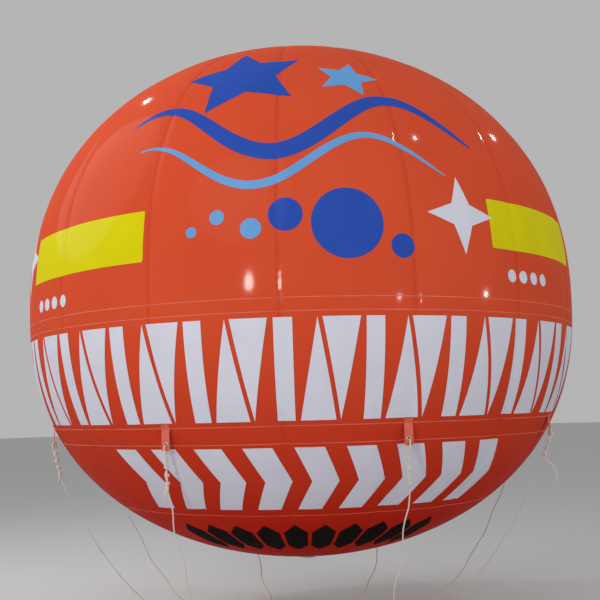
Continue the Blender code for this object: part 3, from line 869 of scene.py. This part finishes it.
rib_tree, given, result = tree_of(
    "finger_ribs",
    [("Count", "Int"), ("Radius", "Float"), ("Size", "Vector"), ("Height", "Float"), ("Finish", "Material")],
)
spots = node(
    rib_tree, "GeometryNodeCurvePrimitiveCircle", {"Resolution": given["Count"], "Radius": given["Radius"]}
)["Curve"]
lifted = node(rib_tree, "ShaderNodeCombineXYZ", {"Z": given["Height"]})[0]
spots = node(rib_tree, "GeometryNodeSetPosition", {"Geometry": spots, "Offset": lifted})[0]
place = node(rib_tree, "ShaderNodeSeparateXYZ", {0: node(rib_tree, "GeometryNodeInputPosition")[0]})
heading = node(rib_tree, "ShaderNodeCombineXYZ", {"Z": sum_of(rib_tree, "ARCTAN2", place["Y"], place["X"])})[0]
rib = node(rib_tree, "GeometryNodeMeshCube", {"Size": given["Size"]})["Mesh"]
ribs = node(rib_tree, "GeometryNodeInstanceOnPoints", {"Points": spots, "Instance": rib, "Rotation": heading})[0]
ribs = node(rib_tree, "GeometryNodeRealizeInstances", {"Geometry": ribs})[0]
rib_tree.links.new(node(rib_tree, "GeometryNodeSetMaterial", {"Geometry": ribs, "Material": given["Finish"]})[0], result[0])
neck_ribs = grown(
    "neck_ribs",
    rib_tree,
    {"Count": 28, "Radius": NECK_OUTER, "Size": (0.0022, 0.0022, 0.012), "Height": -1.6785, "Finish": plastic},
)
dressed(neck_ribs, "balloon", "valve_plastic")
cap_ribs = grown(
    "cap_ribs",
    rib_tree,
    {"Count": 40, "Radius": 0.030, "Size": (0.008, 0.0016, 0.0016), "Height": CAP_UNDER_Z, "Finish": plastic},
)
dressed(cap_ribs, "cap", "valve_plastic")

# The prints: shapes cut from thin coloured film and bonded to the sheet. The scheme is a plain one of bars,
# chevrons, stars, discs and waves, and it comes twice round the balloon.
FILM = 0.0014
FILM_LIFT = 0.0009
GRID = 0.018


def film_finish(name, colour, wander_to, gloss=0.10):
    made, tree, shader, place = finish(
        name, colour, 0.4, Specular_IOR_Level=0.0, Coat_Weight=gloss, Coat_Roughness=0.10
    )
    tree.links.new(mottled(tree, place, 5, colour, wander_to, 5), shader["Base Color"])
    roughened(tree, shader, place, 60, 0.10, 0.003)
    return made


white_film = film_finish("white_film", (0.57, 0.57, 0.66), (0.67, 0.67, 0.74))
yellow_film = film_finish("yellow_film", (0.58, 0.51, 0.003), (0.68, 0.61, 0.006))
blue_film = film_finish("blue_film", (0.018, 0.060, 0.34), (0.030, 0.085, 0.42))
sky_film = film_finish("light_blue_film", (0.10, 0.28, 0.58), (0.16, 0.36, 0.66))
black_film = film_finish("black_film", (0.006, 0.004, 0.004), (0.014, 0.010, 0.010), 0.05)


def printed(name, shapes, bearing, along, material, as_bearings=False):
    """Flat shapes bonded to the sheet round this place, x to the right and y up in metres, or x in degrees."""
    flat = bmesh.new()
    for shape in shapes:
        flat.faces.new([flat.verts.new((x, y, 0)) for x, y in shape])
    bmesh.ops.triangulate(flat, faces=flat.faces)
    unit = math.degrees(GRID / radius_at(along)) if as_bearings else GRID
    for axis, step in ((0, unit), (1, GRID)):
        reach = [v.co[axis] for v in flat.verts]
        normal = Vector((1 - axis, axis, 0))
        for i in range(math.ceil(min(reach) / step), math.floor(max(reach) / step) + 1):
            everything = [*flat.verts, *flat.edges, *flat.faces]
            bmesh.ops.bisect_plane(flat, geom=everything, dist=1e-6, plane_co=normal * i * step, plane_no=normal)
    bmesh.ops.remove_doubles(flat, verts=flat.verts, dist=1e-5)
    spread = 1 if as_bearings else math.degrees(1 / radius_at(along))
    for v in flat.verts:
        v.co = on_sheet(bearing + v.co.x * spread, along + v.co.y, FILM_LIFT)[0]
    for face in flat.faces:
        face.smooth = True
        if face.normal.dot(face.calc_center_median()) < 0:
            face.normal_flip()
    mesh = bpy.data.meshes.new(name)
    flat.to_mesh(mesh)
    flat.free()
    draft = bpy.data.objects.new(name, mesh)
    bpy.context.scene.collection.objects.link(draft)
    thick = draft.modifiers.new("film", "SOLIDIFY")
    thick.thickness = FILM
    thick.offset = -1
    graph = bpy.context.evaluated_depsgraph_get()
    done = bpy.data.meshes.new_from_object(draft.evaluated_get(graph))
    bpy.data.objects.remove(draft)
    done.set_sharp_from_angle(angle=math.radians(40))
    return dressed(shown(name, done, material), "balloon", "envelope_pvc")


def rounded_corners(points, radius, steps=5):
    """The outline with each corner eased by an arc-like curve."""
    eased = []
    for before, corner, after in zip([points[-1], *points[:-1]], points, [*points[1:], points[0]]):
        corner = Vector(corner)
        inward = (Vector(before) - corner).normalized() * radius
        onward = (Vector(after) - corner).normalized() * radius
        for i in range(steps + 1):
            t = i / steps
            p = corner + inward * (1 - t) ** 2 + onward * t * t
            eased.append((p.x, p.y))
    return eased


def disc(x, y, radius, sides=40):
    turns = [math.tau * i / sides for i in range(sides)]
    return [(x + radius * math.cos(turn), y + radius * math.sin(turn)) for turn in turns]


def star(x, y, points, outer, inner, tilt=0.0):
    """A star's outline, with its first point up."""
    corners = []
    for i in range(2 * points):
        turn = tilt + math.pi / 2 + math.pi * i / points
        reach = inner if i % 2 else outer
        corners.append((x + reach * math.cos(turn), y + reach * math.sin(turn)))
    return corners


def wave_ribbon(left, right, height, swell, waves, phase, widest, steps=72):
    """A wavy ribbon that tapers to both ends, as a run of four-cornered pieces."""
    edges = []
    for i in range(steps + 1):
        t = i / steps
        x = left + (right - left) * t
        y = height + swell * math.sin(math.tau * waves * t + phase)
        slope = swell * math.tau * waves * math.cos(math.tau * waves * t + phase) / (right - left)
        half = widest / 2 * (0.10 + 0.90 * math.sin(math.pi * t) ** 0.7)
        n = Vector((-slope, 1)).normalized() * half
        edges.append(((x - n.x, y - n.y), (x + n.x, y + n.y)))
    return [(a[0], b[0], b[1], a[1]) for a, b in zip(edges, edges[1:])]


# The white frieze of bars and wedges all round, between the second weld ring and the third.
band_top = along_at(-0.201) - 0.030
band_foot = along_at(-0.778) + 0.030
band_middle = (band_top + band_foot) / 2
band_half = (band_top - band_foot) / 2
BAND_UNIT = 15.0
BAR_WIDTH = 3.1
WEDGE_WIDTH = 6.2
BAND_GAP = 0.9
for number in range(int(360 / BAND_UNIT)):
    up_left = BAR_WIDTH + BAND_GAP
    up_right = up_left + WEDGE_WIDTH
    down_right = BAND_UNIT - BAND_GAP
    down_left = down_right - WEDGE_WIDTH
    up_tip = up_left + WEDGE_WIDTH / 2
    down_tip = down_right - WEDGE_WIDTH / 2
    bar = [(0, -band_half), (BAR_WIDTH, -band_half), (BAR_WIDTH, band_half), (0, band_half)]
    up_wedge = [(up_left, -band_half), (up_right, -band_half), (up_tip, band_half)]
    down_wedge = [(down_left, band_half), (down_right, band_half), (down_tip, -band_half)]
    shapes = [bar, up_wedge, down_wedge]
    printed(f"white_frieze_{number + 1:02d}", shapes, BAND_UNIT * number - 4.5, band_middle, white_film, True)

for half_name, half_turn in (("front", 0), ("back", 180)):
    # Chevrons in a row under the third ring, and black lozenges under them.
    row = along_at(-1.075)
    chevrons = []
    for number in range(9):
        x = -1.06 + 0.250 * number
        chevrons.append([(x - 0.065, -0.232), (x + 0.080, -0.232), (x + 0.165, 0), (x + 0.020, 0)])
        chevrons.append([(x + 0.020, 0), (x + 0.165, 0), (x + 0.080, 0.232), (x - 0.065, 0.232)])
    printed(f"chevrons_{half_name}", chevrons, half_turn + 3, row, white_film)
    lozenges = []
    for number in range(10):
        x = -0.66 + 0.1465 * number
        upper = [(x + 0.062, 0.11), (x, 0.21), (x - 0.062, 0.11)]
        lozenges.append([(x - 0.062, -0.11), (x, -0.21), (x + 0.062, -0.11), *upper])
    printed(f"lozenges_{half_name}", lozenges, half_turn + 1, along_at(-1.445), black_film)

    # The blue waves, the stars and the discs of the upper half.
    printed(f"blue_wave_{half_name}", wave_ribbon(-1.12, 1.12, 0.86, 0.19, 1.5, 0.6, 0.105), half_turn, 0, blue_film)
    printed(f"light_wave_{half_name}", wave_ribbon(-0.98, 0.86, 0.62, 0.15, 1.4, 1.2, 0.050), half_turn, 0, sky_film)
    printed(f"blue_star_{half_name}", [star(0, 0, 5, 0.37, 0.185, 0.2)], half_turn - 12, 1.32, blue_film)
    printed(f"small_star_{half_name}", [star(0, 0, 5, 0.19, 0.09, -0.3)], half_turn + 12, 1.27, sky_film)
    bubbles = [disc(0, 0, 0.19), disc(-0.32, 0.05, 0.090), disc(0.29, -0.12, 0.065)]
    printed(f"blue_discs_{half_name}", bubbles, half_turn + 8, 0.25, blue_film)
    beads = [disc(-0.50, -0.02, 0.055), disc(-0.68, 0.05, 0.040), disc(-0.82, -0.02, 0.030)]
    printed(f"light_discs_{half_name}", beads, half_turn + 8, 0.25, sky_film)

# The yellow panels, each with a white star at its left and a row of white discs under it.
PANELS = ((-62.2, -27.0, 0.100, 0.380), (35.2, 66.5, 0.148, 0.428), (125.0, 158.0, 0.125, 0.405), (-152.0, -119.0, 0.125, 0.405))
for number, (left, right, foot_z, head_z) in enumerate(PANELS):
    low, high = along_at(foot_z), along_at(head_z)
    corners = [(left, low), (right, low), (right, high), (left, high)]
    middle = (left + right) / 2
    middle_up = (low + high) / 2
    panel = rounded_corners([(x - middle, (y - middle_up) * 10) for x, y in corners], 0.25)
    panel = [(x, y / 10) for x, y in panel]
    printed(f"yellow_panel_{number + 1}", [panel], middle, middle_up, yellow_film, True)
    printed(f"panel_star_{number + 1}", [star(0, 0, 4, 0.22, 0.085)], left - 6.2, middle_up + 0.03, white_film)
    dots = [disc(0.105 * (i - 1.5), 0, 0.036, 28) for i in range(4)]
    printed(f"panel_dots_{number + 1}", dots, left + 9.5, low - 0.145, white_film)

# The studio: a pale floor under the floating balloon, a pale sky all round, two broad soft lights high at the front
# left and at the left, and the small lamps whose reflections shine on the sheet.
FLOOR_Z = -2.201
floor_shape = bmesh.new()
bmesh.ops.create_circle(floor_shape, cap_ends=True, segments=96, radius=60, matrix=Matrix.Translation((0, 0, FLOOR_Z)))
floor_mesh = bpy.data.meshes.new("studio_floor")
floor_shape.to_mesh(floor_mesh)
floor_shape.free()
floor_finish, tree, shader, place = finish("pale_floor", (0.60, 0.60, 0.60), 0.85)
shown("studio_floor", floor_mesh, floor_finish)

world = bpy.data.worlds.new("pale_studio")
world.use_nodes = True
world.node_tree.nodes["Background"].inputs["Color"].default_value = (1.0, 1.0, 1.0, 1)
world.node_tree.nodes["Background"].inputs["Strength"].default_value = 0.46
bpy.context.scene.world = world


def lamp(name, place, aim, size, power):
    light = bpy.data.lights.new(name, "AREA")
    light.shape = "DISK"
    light.size = size
    light.energy = power
    made = bpy.data.objects.new(name, light)
    made.matrix_world = Matrix.Translation(place) @ (Vector(aim) - Vector(place)).to_track_quat("-Z", "Y").to_matrix().to_4x4()
    made.visible_camera = False
    bpy.context.scene.collection.objects.link(made)
    return made


lamp("front_softbox", (-3.5, -8.0, 5.5), (0, 0, 0.3), 6.0, 200)
lamp("left_softbox", (-5.8, 0.2, 4.0), (0, 0, 0.3), 5.6, 215)

# Each shine lies where the line from the camera is turned away by the sheet, so a lamp stands on the turned line.
SHINES = ((-37.9, 1.153, 0.20, 40), (-7.8, -0.053, 0.42, 90), (21.9, 0.751, 0.12, 30), (44.8, 0.86, 0.14, 30))
SHINES += ((16.9, -0.133, 0.08, 20), (32.9, -0.109, 0.11, 30))
SHINE_POWER = 1.0
for number, (bearing, height, size, power) in enumerate(SHINES):
    place, out = on_sheet(bearing, along_at(height), 0)
    view = (camera.matrix_world.translation - place).normalized()
    way = (2 * out.dot(view) * out - view).normalized()
    lamp(f"small_lamp_{number + 1}", place + way * 5.5, place, size, power * SHINE_POWER)
